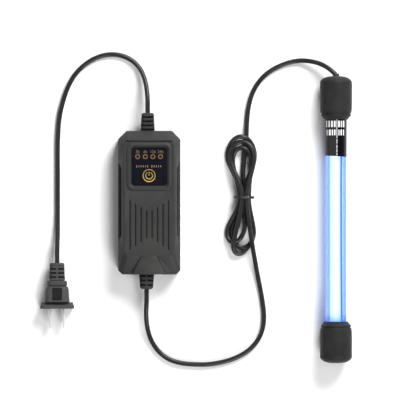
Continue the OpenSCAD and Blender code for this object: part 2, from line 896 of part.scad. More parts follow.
module plug_body() {
    color("#2b2b2b") translate([plug_x, 0, plug_z]) {
        plug_relief();
        hull() {
            plug_slice(plug_collar, 17.5, 13);
            plug_slice(plug_shoulder, 19, 14);
        }
        difference() {
            hull() {
                plug_slice(plug_shoulder, 19.5, 14.4);
                plug_slice(plug_waist, 21.6, 15.4);
                plug_slice(plug_foot, 22.8, 16);
            }
            for (z = [recess_floor, -recess_floor - plug_z])
                box(recess_w, recess_l, plug_z, 0, recess_y, z);
        }
        plug_slice(plug_flange, plug_flange_w, 2 * plug_z, plug_flange - plug_end);
    }
}

module plug_blades() {
    color("#cfd2d4") for (side = [-1, 1])
        translate([plug_x + side * blade_pitch / 2, plug_end, plug_z]) difference() {
            box(blade_t, blade_l, blade_w, 0, -blade_l / 2, -blade_w / 2);
            translate([-2, -blade_l + 5, 0]) rotate([0, 90, 0]) cylinder(d = 3, h = 4, $fn = 24);
        }
}

case_base();
case_top();
case_screws();
control_panel();
light_guide();
power_button();
switch_plunger();
tact_switch();
timer_board();
timer_board_screws();
timer_leds();
timer_chip();
board_header();
main_board();
main_board_screws();
line_fuse();
emi_choke();
rectifier_diodes();
bulk_capacitor();
timer_relay();
film_capacitors();
switching_transistors();
inductor_core();
inductor_winding();
resistors();
mains_leads();
lamp_leads();
mains_strain_relief();
lamp_strain_relief();
upper_cap();
cable_gland();
sealing_bung();
lead_cores();
wire_splice();
quartz_sleeve();
label_wrap();
upper_spacer_ring();
lower_spacer_ring();
uv_tube();
upper_lamp_base();
lower_lamp_base();
lamp_pins();
filaments();
return_wire();
lower_cap();
mains_cord();
plug_body();
plug_blades();
lamp_cord_lower();
cord_hank();
hank_tie();
lamp_cord_upper();
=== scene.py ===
"""Looks of a submersible ultraviolet lamp set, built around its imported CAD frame.

Lengths in the tables are millimetres, turned into metres by MM where a piece is made.
"""

import json
import math

import bmesh
import bpy
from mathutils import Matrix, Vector


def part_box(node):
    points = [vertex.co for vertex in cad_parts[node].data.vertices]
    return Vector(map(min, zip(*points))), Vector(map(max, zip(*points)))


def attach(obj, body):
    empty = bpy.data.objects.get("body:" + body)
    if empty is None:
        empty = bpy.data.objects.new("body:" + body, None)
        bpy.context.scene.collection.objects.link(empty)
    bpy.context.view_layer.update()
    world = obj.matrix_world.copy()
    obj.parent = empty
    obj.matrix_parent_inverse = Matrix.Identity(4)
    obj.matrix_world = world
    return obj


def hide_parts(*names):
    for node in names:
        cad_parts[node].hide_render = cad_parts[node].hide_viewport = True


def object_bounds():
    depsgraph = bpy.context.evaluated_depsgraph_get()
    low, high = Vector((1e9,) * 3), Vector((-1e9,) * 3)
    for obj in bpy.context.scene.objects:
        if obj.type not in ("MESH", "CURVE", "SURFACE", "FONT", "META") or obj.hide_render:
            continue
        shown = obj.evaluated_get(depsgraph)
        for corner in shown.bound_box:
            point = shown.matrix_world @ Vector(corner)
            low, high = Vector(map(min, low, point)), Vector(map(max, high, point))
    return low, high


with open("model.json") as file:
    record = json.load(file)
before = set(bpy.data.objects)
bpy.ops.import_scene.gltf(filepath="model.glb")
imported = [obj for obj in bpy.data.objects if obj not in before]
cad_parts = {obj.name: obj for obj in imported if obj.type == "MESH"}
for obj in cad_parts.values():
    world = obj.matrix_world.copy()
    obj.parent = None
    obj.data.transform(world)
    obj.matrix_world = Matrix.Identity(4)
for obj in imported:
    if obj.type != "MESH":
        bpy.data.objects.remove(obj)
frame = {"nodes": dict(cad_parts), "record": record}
cad_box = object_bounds()

MM = 0.001
SET = "set"


# ---- small tools ----


def placed(name, data):
    """A new object of the scene for a mesh, curve, camera or light."""
    obj = bpy.data.objects.new(name, data)
    bpy.context.scene.collection.objects.link(obj)
    return obj


def box_mm(node):
    """A CAD node's lowest and highest corners, in millimetres."""
    low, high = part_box(node)
    return [v / MM for v in low], [v / MM for v in high]


def middle(node):
    """The centre of a CAD node's box, in millimetres."""
    low, high = box_mm(node)
    return [(a + b) / 2 for a, b in zip(low, high)]


def half_size(node):
    """Half the length of each side of a CAD node's box, in millimetres."""
    low, high = box_mm(node)
    return [(b - a) / 2 for a, b in zip(low, high)]


def mesh_object(name, points, faces):
    """A mesh from points in millimetres."""
    mesh = bpy.data.meshes.new(name)
    mesh.from_pydata([Vector(p) * MM for p in points], [], faces)
    mesh.validate()
    tidy = bmesh.new()
    tidy.from_mesh(mesh)
    bmesh.ops.recalc_face_normals(tidy, faces=tidy.faces)
    tidy.to_mesh(mesh)
    tidy.free()
    return placed(name, mesh)


def hull_object(name, points):
    """The convex hull of points in millimetres, with flat regions merged into one face each."""
    shell = bmesh.new()
    for p in points:
        shell.verts.new(Vector(p) * MM)
    made = bmesh.ops.convex_hull(shell, input=shell.verts)
    spare = [g for g in made["geom_interior"] if isinstance(g, bmesh.types.BMVert)]
    bmesh.ops.delete(shell, geom=spare, context="VERTS")
    bmesh.ops.dissolve_limit(shell, angle_limit=math.radians(1), verts=shell.verts, edges=shell.edges)
    bmesh.ops.recalc_face_normals(shell, faces=shell.faces)
    mesh = bpy.data.meshes.new(name)
    shell.to_mesh(mesh)
    shell.free()
    return placed(name, mesh)


def prism(name, plan, z0, z1):
    """An upright prism on a convex plan."""
    return hull_object(name, [(x, y, z) for x, y in plan for z in (z0, z1)])


def apply_modifiers(obj):
    """Keeps the mesh that the modifiers make, and drops the modifiers."""
    depsgraph = bpy.context.evaluated_depsgraph_get()
    mesh = bpy.data.meshes.new_from_object(obj.evaluated_get(depsgraph))
    obj.modifiers.clear()
    old = obj.data
    obj.data = mesh
    bpy.data.meshes.remove(old)
    return obj


def boolean(target, tool, operation="DIFFERENCE"):
    """Cuts tool from target, or adds it, and removes tool."""
    step = target.modifiers.new("boolean", "BOOLEAN")
    step.operation = operation
    step.solver = "EXACT"
    step.object = tool
    apply_modifiers(target)
    bpy.data.objects.remove(tool)
    return target


def soften(obj, width, segments, angle, sharp=40):
    """Rounds the edges that bend by more than angle, and shades the rest smooth."""
    bevel = obj.modifiers.new("bevel", "BEVEL")
    bevel.width = width * MM
    bevel.segments = segments
    bevel.limit_method = "ANGLE"
    bevel.angle_limit = math.radians(angle)
    apply_modifiers(obj)
    return smooth(obj, sharp)


def smooth(obj, sharp):
    """Shades the piece smooth, apart from edges that bend by more than sharp."""
    obj.data.polygons.foreach_set("use_smooth", [True] * len(obj.data.polygons))
    obj.data.set_sharp_from_angle(angle=math.radians(sharp))
    return obj


def join(name, parts):
    """One object from several mesh objects."""
    whole = bmesh.new()
    for part in parts:
        whole.from_mesh(part.data)
    mesh = bpy.data.meshes.new(name)
    whole.to_mesh(mesh)
    whole.free()
    for part in parts:
        bpy.data.objects.remove(part)
    return placed(name, mesh)


def dress(obj, slot, material, *nodes, body=SET):
    """Gives a piece its finish and its body, and hides the CAD nodes that it stands for."""
    obj.data.materials.clear()
    obj.data.materials.append(material)
    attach(obj, body)
    if nodes:
        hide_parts(*nodes)
    return obj


def between(a, b, t_a, t_b, t):
    """The point at t on the straight way from a at t_a to b at t_b."""
    return (a * (t_b - t) + b * (t - t_a)) / (t_b - t_a)


def spline_points(controls, step=2):
    """Points about step apart on a smooth curve through every control point."""
    controls = [Vector(p) for p in controls]
    ends = [2 * controls[0] - controls[1]] + controls + [2 * controls[-1] - controls[-2]]
    out = []
    for p0, p1, p2, p3 in zip(ends, ends[1:], ends[2:], ends[3:]):
        count = max(2, round((p2 - p1).length / step))
        t0, t1 = 0, (p1 - p0).length ** 0.5
        t2 = t1 + (p2 - p1).length ** 0.5
        t3 = t2 + (p3 - p2).length ** 0.5
        for k in range(count):
            t = t1 + (t2 - t1) * k / count
            a2 = between(p1, p2, t1, t2, t)
            b1 = between(between(p0, p1, t0, t1, t), a2, t0, t2, t)
            b2 = between(a2, between(p2, p3, t2, t3, t), t1, t3, t)
            out.append(between(b1, b2, t1, t2, t))
    return out + [controls[-1]]


def relaxed(points, rounds=8):
    """The same line with its small kinks eased out. Its ends stay."""
    points = [Vector(p) for p in points]
    for _ in range(rounds):
        inner = [(a + 2 * b + c) / 4 for a, b, c in zip(points, points[1:], points[2:])]
        points = points[:1] + inner + points[-1:]
    return points


def cord_curve(name, points, diameter):
    """A round cord as one open curve."""
    curve = bpy.data.curves.new(name, "CURVE")
    curve.dimensions = "3D"
    curve.bevel_depth = diameter / 2 * MM
    curve.bevel_resolution = 6
    curve.use_fill_caps = True
    line = curve.splines.new("POLY")
    line.points.add(len(points) - 1)
    for slot, p in zip(line.points, points):
        slot.co = (*(Vector(p) * MM), 1)
    line.use_smooth = True
    return placed(name, curve)


def angles(sides):
    """The directions of a regular polygon's corners."""
    return [2 * math.pi * k / sides for k in range(sides)]


def tube(name, points, radius, sides, closed=False):
    """A round tube along points, as a mesh."""
    points = [Vector(p) for p in points]
    count = len(points)
    side = None
    rings = []
    for i, here in enumerate(points):
        before = points[i - 1] if i or closed else here
        after = points[(i + 1) % count] if i + 1 < count or closed else here
        along = (after - before).normalized()
        if side is None:
            side = along.orthogonal().normalized()
        side = (side - along * side.dot(along)).normalized()
        up = along.cross(side)
        rings.append([here + radius * (math.cos(a) * side + math.sin(a) * up) for a in angles(sides)])
    return smooth(skin(name, rings, closed), 60)


def skin(name, rings, closed=False):
    """A closed surface over rings of equally many points."""
    sides = len(rings[0])
    points = [p for ring in rings for p in ring]
    faces = []
    for i in range(len(rings) if closed else len(rings) - 1):
        j = (i + 1) % len(rings)
        for k in range(sides):
            n = (k + 1) % sides
            faces.append((i * sides + k, j * sides + k, j * sides + n, i * sides + n))
    if not closed:
        faces.append(tuple(range(sides)))
        faces.append(tuple(reversed(range(len(points) - sides, len(points)))))
    return mesh_object(name, points, faces)


def lathe(profile, centre, sides):
    """Rings round an axis along Y. profile holds (radius, y) from one end to the other."""
    x, z = centre
    return [[(x + r * math.cos(a), y, z + r * math.sin(a)) for a in angles(sides)] for r, y in profile]


def rounded(half_x, half_y, radius, steps=6, flat=1, centre=(0, 0)):
    """The plan of a rectangle with round corners. Its straight sides have flat steps each."""
    arcs = []
    for corner, (sx, sy) in enumerate(((1, 1), (-1, 1), (-1, -1), (1, -1))):
        arc = []
        for k in range(steps + 1):
            a = math.pi / 2 * (corner + k / steps)
            x = centre[0] + (sx * (half_x - radius) + radius * math.cos(a))
            arc.append((x, centre[1] + (sy * (half_y - radius) + radius * math.sin(a))))
        arcs.append(arc)
    plan = []
    for arc, following in zip(arcs, arcs[1:] + arcs[:1]):
        (x0, y0), (x1, y1) = arc[-1], following[0]
        plan += arc
        plan += [(x0 + (x1 - x0) * k / flat, y0 + (y1 - y0) * k / flat) for k in range(1, flat)]
    return plan


# ---- materials ----


def grey(level):
    """A neutral colour."""
    return (level, level, level)


class Finish:
    """A procedural material under construction."""

    def __init__(self, name):
        self.material = bpy.data.materials.new(name)
        self.material.use_nodes = True
        self.nodes = self.material.node_tree.nodes
        self.links = self.material.node_tree.links
        self.shader = self.nodes["Principled BSDF"]
        self.place = self.nodes.new("ShaderNodeTexCoord").outputs["Object"]

    def feed(self, node, **inputs):
        """Links a socket to each named input, or sets a number on it. An underscore is a space."""
        for key, value in inputs.items():
            socket = node.inputs[key.replace("_", " ")]
            if isinstance(value, bpy.types.NodeSocket):
                self.links.new(value, socket)
            else:
                socket.default_value = value
        return node

    def make(self, kind, **inputs):
        """A new node with its inputs fed."""
        return self.feed(self.nodes.new("ShaderNode" + kind), **inputs)

    def set(self, **inputs):
        """Feeds the shader itself."""
        self.feed(self.shader, **inputs)
        return self

    def noise(self, size, detail=3, stretch=None):
        """Noise whose features are about size millimetres across."""
        place = self.make("Mapping", Vector=self.place, Scale=stretch).outputs[0] if stretch else self.place
        return self.make("TexNoise", Vector=place, Scale=1 / (size * MM), Detail=detail).outputs["Fac"]

    def spread(self, value, low, high, to_low=0, to_high=1):
        """Maps value from one range to another, and clamps it."""
        node = self.make("MapRange", Value=value, From_Min=low, From_Max=high,
                         To_Min=to_low, To_Max=to_high)
        return node.outputs["Result"]

    def share(self, axis, low, high):
        """How far along an axis of the object a point lies, between two places in millimetres."""
        return self.spread(self.make("SeparateXYZ", Vector=self.place).outputs[axis], low * MM, high * MM)

    def ramp(self, value, *stops):
        """Colours along value. Each stop is (place, (r, g, b))."""
        node = self.make("ValToRGB", Fac=value)
        elements = node.color_ramp.elements
        while len(elements) < len(stops):
            elements.new(0.5)
        for element, (place, colour) in zip(elements, stops):
            element.position = place
            element.color = (*colour, 1)
        return node.outputs["Color"]

    def tint(self, value, *stops, socket="Base_Color"):
        """Colours along value for the surface, or for its emission."""
        self.set(**{socket: self.ramp(value, *stops)})

    def rough(self, value, low, high):
        """Roughness that goes from low to high with the middle of a noise."""
        self.set(Roughness=self.spread(value, 0.3, 0.7, low, high))

    def bump(self, value, height, strength=1):
        """Raises the surface by height millimetres where value is one."""
        node = self.make("Bump", Height=value, Distance=height * MM, Strength=strength)
        earlier = self.shader.inputs["Normal"].links
        if earlier:
            self.links.new(earlier[0].from_socket, node.inputs["Normal"])
        self.set(Normal=node.outputs["Normal"])


def moulded(name, dark, light, rough, grain=0.35, height=0.02, drift=18, stretch=None, dents=None,
            **sockets):
    """Moulded or coated stuff: a slow drift of colour, and fine grain that roughness follows.

    grain and drift are sizes in millimetres. dents is the size, detail, height and strength of
    a coarser relief.
    """
    finish = Finish(name)
    finish.tint(finish.noise(drift, 4, stretch), (0.3, dark), (0.7, light))
    fine = finish.noise(grain, 2, stretch)
    finish.rough(fine, rough - 0.06, rough + 0.08)
    finish.bump(fine, height)
    if dents:
        size, detail, deep, strength = dents
        finish.bump(finish.noise(size, detail), deep, strength)
    return finish.set(**sockets).material


def rubber_material(name, dark, light, rough):
    """Matt rubber or soft PVC with faint dents."""
    return moulded(name, dark, light, rough, 0.5, 0.025, 12, dents=(6, 2, 0.05, 0.4),
                   Specular_IOR_Level=0.1)


def panel_material():
    """Gloss acrylic, dark blue-black, with a few hairline marks."""
    finish = Finish("panel_acrylic")
    finish.tint(finish.noise(14), (0.3, (0.0045, 0.0045, 0.0085)), (0.7, (0.0065, 0.0065, 0.011)))
    marks = finish.noise(0.5, 2, (1, 0.04, 1))
    finish.set(Roughness=finish.spread(marks, 0.45, 0.8, 0.16, 0.3))
    finish.bump(finish.noise(9, 1), 0.02, 0.3)
    return finish.set(Specular_IOR_Level=0.12).material


def gold_material():
    """Gold print, brighter towards the lamp end of the panel."""
    finish = Finish("gold_print")
    low, high = box_mm("control_panel")
    share = finish.share("Y", low[1] + 3, high[1] - 12)
    finish.tint(share, (0, (0.8, 0.58, 0.15)), (0.35, (0.42, 0.27, 0.085)), (1, (0.26, 0.155, 0.06)))
    finish.rough(finish.noise(0.4), 0.26, 0.4)
    finish.bump(finish.noise(0.3), 0.01)
    return finish.set(Metallic=0.55, Specular_IOR_Level=0.6).material


def metal_material(name, dark, light, rough, stretch=(1, 1, 12), metallic=1):
    """Plated metal with fine drawing marks."""
    return moulded(name, dark, light, rough, 0.35, 0.01, 5, stretch, Metallic=metallic)


def label_material():
    """Shrunk film with soft ripples. Its seam divides a duller half from a glossier one, and the duller
    half is painted lighter as a painted reflection.
    """
    finish = Finish("label_film")
    middle_x = middle("label_wrap")[0]
    half = finish.share("X", middle_x - 0.2, middle_x + 0.6)
    # Painted reflection: the left half's colour is lighter; only its rougher finish there is real.
    finish.tint(half, (0, grey(0.018)), (1, (0.003, 0.003, 0.004)))
    finish.set(Roughness=finish.spread(half, 0, 1, 0.42, 0.2))
    finish.bump(finish.noise(7, 2, (1, 0.35, 1)), 0.25, 0.35)
    finish.bump(finish.noise(0.7), 0.01)
    return finish.set(Specular_IOR_Level=0.2).material


def quartz_material():
    """Clear quartz that passes blue best, so its edges look deeper. Its left side is painted paler and its
    right side deeper blue as painted light, and it glows all over with painted blue light, a deeper blue by
    the lower cap.
    """
    finish = Finish("quartz_painted_glow")
    foot = box_mm("lower_cap")[1][1]
    share = finish.share("Y", foot + 1, foot + 7)
    cloud = finish.noise(22, 3, (1, 0.5, 1))
    low, high = box_mm("quartz_sleeve")
    across = finish.share("X", low[0], high[0])
    # Painted light and shade: the left side is painted paler and the right side deeper blue.
    finish.tint(across, (0, (0.42, 0.58, 1)), (0.5, (0.3, 0.45, 0.95)), (1, (0.06, 0.15, 0.75)))
    # Painted glow: the sleeve is no lamp, yet it gives off blue light all over, a deeper blue by the lower
    # cap.
    finish.tint(share, (0, (0.01, 0.05, 0.9)), (0.6, (0.1, 0.2, 1)), (1, (0.4, 0.55, 1)),
                socket="Emission_Color")
    # Least clear at its grazing edges and next to the cap, where more of the painted colour and glow shows
    edge = finish.make("LayerWeight")
    haze = finish.make("Math")
    haze.operation = "MAXIMUM"
    finish.links.new(finish.spread(edge.outputs["Facing"], 0.12, 0.6, 0.06, 0.6), haze.inputs[0])
    finish.links.new(finish.spread(share, 0, 1, 0.42, 0.06), haze.inputs[1])
    finish.set(Alpha=haze.outputs["Value"])
    finish.rough(cloud, 0.03, 0.07)
    finish.bump(cloud, 0.02, 0.2)
    tint = finish.make("VolumeAbsorption", Color=(0.22, 0.52, 0.99, 1), Density=270)
    finish.links.new(tint.outputs["Volume"], finish.nodes["Material Output"].inputs["Volume"])
    return finish.set(Emission_Strength=0.5, IOR=1.46, Coat_Weight=0.3, Coat_Roughness=0.03).material


def lit_tube_material():
    """The glowing tube: white along its left and middle, cyan at its right, bluer at both ends."""
    finish = Finish("lit_tube")
    low, high = box_mm("uv_tube")
    across = finish.share("X", low[0], high[0])
    glow = finish.ramp(across, (0, (0.38, 0.6, 0.95)), (0.1, (0.62, 0.95, 1)), (0.32, grey(1)),
                       (0.52, grey(1)), (0.68, (0.55, 1, 0.9)), (1, (0.42, 0.85, 0.92)))
    along = finish.share("Y", low[1], high[1])
    ends = finish.ramp(along, (0, (0.1, 0.2, 1)), (0.06, (0.5, 0.75, 1)), (0.12, grey(1)),
                       (0.9, grey(1)), (1, (0.5, 0.7, 1)))
    mix = finish.make("VectorMath")
    mix.operation = "MULTIPLY"
    finish.links.new(glow, mix.inputs[0])
    finish.links.new(ends, mix.inputs[1])
    finish.set(Emission_Color=mix.outputs["Vector"])
    finish.tint(finish.noise(15), (0.3, (0.55, 0.75, 0.8)), (0.7, (0.65, 0.8, 0.85)))
    finish.rough(finish.noise(3), 0.08, 0.16)
    return finish.set(Emission_Strength=1.15, Specular_IOR_Level=0.2).material


def wire_material(name, dark, light, **sockets):
    """Smooth wire insulation."""
    return moulded(name, dark, light, 0.4, 0.4, 0.01, 4, **sockets)


def board_material(name, dark, light, trace):
    """Solder mask over a grid of copper tracks."""
    finish = Finish(name)
    brick = finish.make("TexBrick", Vector=finish.place, Scale=90, Mortar_Size=0.035,
                        Color1=(*dark, 1), Color2=(*light, 1), Mortar=(*trace, 1))
    finish.set(Base_Color=brick.outputs["Color"])
    finish.rough(finish.noise(2), 0.32, 0.48)
    finish.bump(brick.outputs["Fac"], -0.03)
    return finish.material


def winding_material(name, dark, light):
    """Enamelled wire laid turn by turn."""
    finish = Finish(name)
    wave = finish.make("TexWave", Vector=finish.place, Scale=420, Distortion=0.6)
    wave.bands_direction = "Z"
    finish.tint(wave.outputs["Fac"], (0, dark), (1, light))
    finish.set(Roughness=finish.spread(wave.outputs["Fac"], 0, 1, 0.28, 0.42))
    finish.bump(wave.outputs["Fac"], 0.08)
    return finish.set(Metallic=0.6).material


# Black ABS with a spark-eroded texture
CASE = moulded("textured_abs", grey(0.026), (0.032, 0.032, 0.031), 0.5, 0.28, 0.03, 25,
               dents=(1.6, 3, 0.02, 1), Specular_IOR_Level=0.15)
# Satin PVC sheath with faint waves from its cores
CORD = moulded("cord_sheath", grey(0.011), grey(0.017), 0.3, 0.6, 0.012, 9, dents=(5, 2, 0.12, 0.35),
               Specular_IOR_Level=0.24)
CAP_RUBBER = rubber_material("cap_rubber", grey(0.014), grey(0.02), 0.5)
RELIEF_RUBBER = rubber_material("relief_rubber", grey(0.026), grey(0.035), 0.46)
PLUG_PVC = rubber_material("plug_pvc", grey(0.044), grey(0.055), 0.44)
PLUG_INSET = rubber_material("plug_inset", grey(0.01), grey(0.016), 0.4)
GOLD = gold_material()
LABEL = label_material()
WHITE_PRINT = moulded("white_print", grey(0.62), (0.78, 0.78, 0.77), 0.45, 0.25, 0.006, 4)
# Painted glow: the return wire is no lamp, yet it gives off blue light.
WIRE_PAINTED_GLOW = wire_material("wire_painted_glow", (0.02, 0.05, 0.6), (0.03, 0.08, 0.75),
                          Emission_Color=(0.03, 0.08, 1, 1), Emission_Strength=0.6)
BLADE = metal_material("nickel_blade", grey(0.64), (0.72, 0.72, 0.71), 0.42, (1, 12, 1), 0.6)
TIE = moulded("tie_plastic", (0.007, 0.007, 0.008), (0.014, 0.014, 0.015), 0.38, 0.3, 0.015, 3)

# The finish of each material slot whose CAD nodes show as they are
SLOT_FINISH = {
    "panel_plastic": panel_material(),
    "clear_plastic": moulded("smoked_window", (0.006, 0.006, 0.012), (0.014, 0.013, 0.02), 0.14,
                             0.8, 0.004, 3, Coat_Weight=0.5, Coat_Roughness=0.05),
    "button_plastic": panel_material(),
    "pcb_green": board_material("green_board", (0.012, 0.1, 0.035), (0.02, 0.13, 0.05), (0.05, 0.24, 0.09)),
    "pcb_brown": board_material("brown_board", (0.28, 0.15, 0.045), (0.36, 0.2, 0.07), (0.5, 0.33, 0.14)),
    "copper_winding": winding_material("copper_winding", (0.3, 0.09, 0.03), (0.62, 0.24, 0.08)),
    "quartz": quartz_material(),
    "lit_tube": lit_tube_material(),
}
# The rest: how each is made, and its darkest colour, lightest colour and roughness
for slot, made, *finish in (
    ("dark_plastic", moulded, grey(0.02), grey(0.035), 0.5),
    ("led_white", moulded, (0.75, 0.7, 0.5), (0.88, 0.84, 0.66), 0.3),
    ("fuse_ceramic", moulded, (0.58, 0.52, 0.38), (0.7, 0.64, 0.48), 0.5),
    ("diode_epoxy", moulded, grey(0.015), grey(0.028), 0.4),
    ("capacitor_sleeve", moulded, (0.02, 0.035, 0.11), (0.04, 0.06, 0.18), 0.25),
    ("relay_blue", moulded, (0.015, 0.08, 0.32), (0.03, 0.12, 0.44), 0.3),
    ("film_red", moulded, (0.3, 0.02, 0.02), (0.44, 0.04, 0.04), 0.28),
    ("ferrite", moulded, (0.03, 0.03, 0.035), (0.06, 0.06, 0.065), 0.5),
    ("resistor_body", moulded, (0.5, 0.38, 0.2), (0.64, 0.52, 0.3), 0.4),
    ("base_ceramic", moulded, (0.72, 0.7, 0.64), (0.84, 0.82, 0.77), 0.55),
    ("screw_steel", metal_material, (0.38, 0.38, 0.39), (0.55, 0.55, 0.56), 0.32),
    ("lead_metal", metal_material, grey(0.52), (0.68, 0.68, 0.67), 0.3),
    ("pin_brass", metal_material, (0.58, 0.42, 0.16), (0.76, 0.58, 0.26), 0.28),
    ("filament_metal", metal_material, (0.5, 0.47, 0.42), (0.68, 0.64, 0.56), 0.35),
    ("brown_insulation", wire_material, (0.1, 0.035, 0.015), (0.17, 0.06, 0.025)),
    ("blue_insulation", wire_material, (0.015, 0.06, 0.34), (0.03, 0.1, 0.5)),
    ("splice_red", wire_material, (0.38, 0.02, 0.015), (0.5, 0.04, 0.03)),
    ("bung_silicone", rubber_material, (0.46, 0.43, 0.37), (0.56, 0.53, 0.47), 0.5),
    ("spacer_silicone", rubber_material, (0.7, 0.68, 0.63), (0.8, 0.78, 0.74), 0.45),
):
    SLOT_FINISH[slot] = made(slot, *finish)

# ---- camera and setting ----

VIEW_WIDTH = 395
# How far the middle of the view is from the middle of the CAD box
VIEW_OFFSET = (11.3, 1.2)
LENS_DISTANCE = 8000
SENSOR = 36
FLOOR_HALF = 4000
FLOOR_DROP = 0.05
LIGHT_AIM = Vector((0.05, 0, 0))


def add_camera():
    """Looks straight down, with +Y up the picture, through a long lens."""
    x, y = [(low + high) / 2 / MM + off for low, high, off in zip(*cad_box, VIEW_OFFSET)]
    data = bpy.data.cameras.new("camera")
    data.sensor_width = SENSOR
    data.lens = SENSOR * LENS_DISTANCE / VIEW_WIDTH
    data.clip_end = 20
    camera = placed("camera", data)
    camera.location = Vector((x, y, LENS_DISTANCE)) * MM
    bpy.context.scene.camera = camera


def add_light(name, place, size, power):
    """A square area light. place, size and LIGHT_AIM are in metres."""
    data = bpy.data.lights.new(name, "AREA")
    data.size = size
    data.energy = power
    light = placed(name, data)
    light.location = place
    light.rotation_euler = (LIGHT_AIM - Vector(place)).to_track_quat("-Z", "Y").to_euler()


def add_setting():
    """A pale floor, a white sky that dims to the left, and four soft lights."""
    corners = [(x * FLOOR_HALF, y * FLOOR_HALF, 0) for x, y in ((-1, -1), (1, -1), (1, 1), (-1, 1))]
    floor = mesh_object("floor", corners, [(0, 1, 2, 3)])
    floor.location.z = -FLOOR_DROP * MM
    card = moulded("floor_card", grey(0.79), grey(0.8), 0.8, 1, 0, 300, Specular_IOR_Level=0.1)
    floor.data.materials.append(card)
    world = bpy.data.worlds.new("world")
    world.use_nodes = True
    tree = world.node_tree
    way = tree.nodes.new("ShaderNodeTexCoord")
    split = tree.nodes.new("ShaderNodeSeparateXYZ")
    tree.links.new(way.outputs["Generated"], split.inputs["Vector"])
    shade = tree.nodes.new("ShaderNodeMapRange")
    for key, number in (("From Min", -1), ("From Max", 0.4), ("To Min", 0.25), ("To Max", 1.5)):
        shade.inputs[key].default_value = number
    tree.links.new(split.outputs["X"], shade.inputs["Value"])
    tree.links.new(shade.outputs["Result"], tree.nodes["Background"].inputs["Strength"])
    bpy.context.scene.world = world
    bpy.context.scene.view_settings.view_transform = "Standard"
    add_light("key_light", (0.75, 1.3, 1.1), 0.9, 62)
    add_light("low_light", (0.6, -1.4, 1.1), 0.9, 34)
    add_light("top_light", (0.5, 0.25, 1.9), 0.5, 3)
    add_light("fill_light", (-1.3, 0.1, 0.9), 1.2, 8)


add_camera()
add_setting()

# ---- cords ----

CORD_D = 4.5
LIE = CORD_D / 2 + 0.05
# Routes, listed point by point. A point without a height lies on the floor
MAINS_ROUTE = [
    (-1.5, 85, 15), (-1.5, 97, 13.8), (-2.5, 109, 10), (-5.5, 121, 6), (-12, 131.5, 3.4),
    (-22.5, 138.5), (-34.5, 141), (-47, 139), (-58, 133.5),
    (-67.5, 125.5), (-74.5, 115.5), (-79.5, 104), (-83, 92),
    (-85.5, 80), (-86.5, 67.5), (-87, 55), (-87, 42.5), (-87, 30),
    (-87, 17.5), (-87, 5), (-87, -7.5), (-87, -20, 3), (-87, -32.5, 5.4),
    (-87.4, -45, 8), (-87.4, -57, 9),
]
LOWER_ROUTE = [
    (-2.5, -82, 15), (-2.5, -94, 13.8), (-3, -106, 10), (-2, -118, 6), (1.5, -130, 3.4),
    (8.5, -141), (19, -149), (31, -152.5), (43.5, -153.5),
    (56, -153.5), (68.5, -151.5), (80.5, -148), (92, -142),
    (101, -133.5), (107, -122.5), (109, -110), (108, -97.5),
    (106, -85), (103.5, -72.5, 3), (101.2, -60, 4.9), (99, -48, 7.3), (97.2, -36, 9.2),
    (95, -22, 10.4),
]
UPPER_ROUTE = [
    (92, 60), (92.5, 74), (93.5, 86.5), (96, 99), (101, 110.5),
    (109, 120.5), (119, 127.5), (130.5, 132.5), (142.5, 135, 3.3),
    (154.5, 134, 6.6), (165, 130.5, 11), (172, 126, 14), (176.5, 121.6, 15.2),
]

# The hank: each turn runs up through the tie, round an upper arc, down through the tie and
# round a lower arc. TIE_SLOTS are the (x, z) places of the seven passes through the tie
TIE_Y = 5
TIE_HALF = 6
TIE_SLOTS = [(92.6, 11.1), (88, 11.1), (94.5, 7.2), (85.3, 7.2), (89.9, 7.2), (87.6, 3.3), (92.2, 3.3)]
# Each arc: centre, half width, rise or drop, lean of its foot to the left, and heights at its
# start, middle and end. An upper arc starts at its right side and a lower one at its left side
UPPER_ARCS = [
    ((88, 42.5), 11.7, 16.2, 0, (8.9, 7, 6.4)),
    ((87.8, 40), 9.1, 13.2, 0, (5.6, 6.9, LIE)),
    ((87.1, 43), 13.2, 20.4, 0, (LIE, 6.8, LIE)),
]
LOWER_ARCS = [
    ((90.3, -31), 9, 19, 6.2, (8.8, 3.2, LIE)),
    ((82.1, -25.2), 8.3, 13.6, 2.5, (LIE, 5.6, 6.2)),
    ((88.9, -27), 10.6, 16.6, 0, (LIE, LIE, LIE)),
]
ARC_STEPS = 6
HANK_EXIT = [(88.9, 24), (89.5, 36), (90.5, 48)]


def arc_points(centre, half, rise, lean, heights, start):
    """Half an ellipse from angle start, with its height eased between three values."""
    points = []
    for k in range(ARC_STEPS + 1):
        share = k / ARC_STEPS
        a = math.radians(start + 180 * share)
        x = centre[0] + half * math.cos(a) + lean * math.sin(a)
        y = centre[1] + rise * math.sin(a)
        pair = heights[:2] if share < 0.5 else heights[1:]
        ease = (1 - math.cos(math.pi * ((share * 2) % 1 if share < 1 else 1))) / 2
        points.append((x, y, pair[0] + (pair[1] - pair[0]) * ease))
    return points


def through_tie(slot, way):
    """Two points that take the cord straight through the tie, upwards or downwards."""
    x, z = slot
    return [(x, TIE_Y - way * TIE_HALF, z), (x, TIE_Y + way * TIE_HALF, z)]


def hank_turns():
    """The cord's route through the hank, from the lower route to the upper one."""
    route = through_tie(TIE_SLOTS[0], 1)
    for turn, (upper, lower) in enumerate(zip(UPPER_ARCS, LOWER_ARCS)):
        route += arc_points(*upper, 0)
        route += through_tie(TIE_SLOTS[2 * turn + 1], -1)
        route += arc_points(*lower, 180)
        route += through_tie(TIE_SLOTS[2 * turn + 2], 1)
    return route


def add_cord(name, route, *nodes):
    """One cord along a route. Returns its piece and its line."""
    line = relaxed(spline_points([p if len(p) == 3 else (*p, LIE) for p in route]))
    return dress(cord_curve(name, line, CORD_D), "cord_rubber", CORD, *nodes), line


MAINS_CORD, MAINS_LINE = add_cord("mains_lead", MAINS_ROUTE, "mains_cord")
LAMP_CORD, LAMP_LINE = add_cord("lamp_lead", LOWER_ROUTE + hank_turns() + HANK_EXIT + UPPER_ROUTE,
                                "lamp_cord_lower", "cord_hank", "lamp_cord_upper")


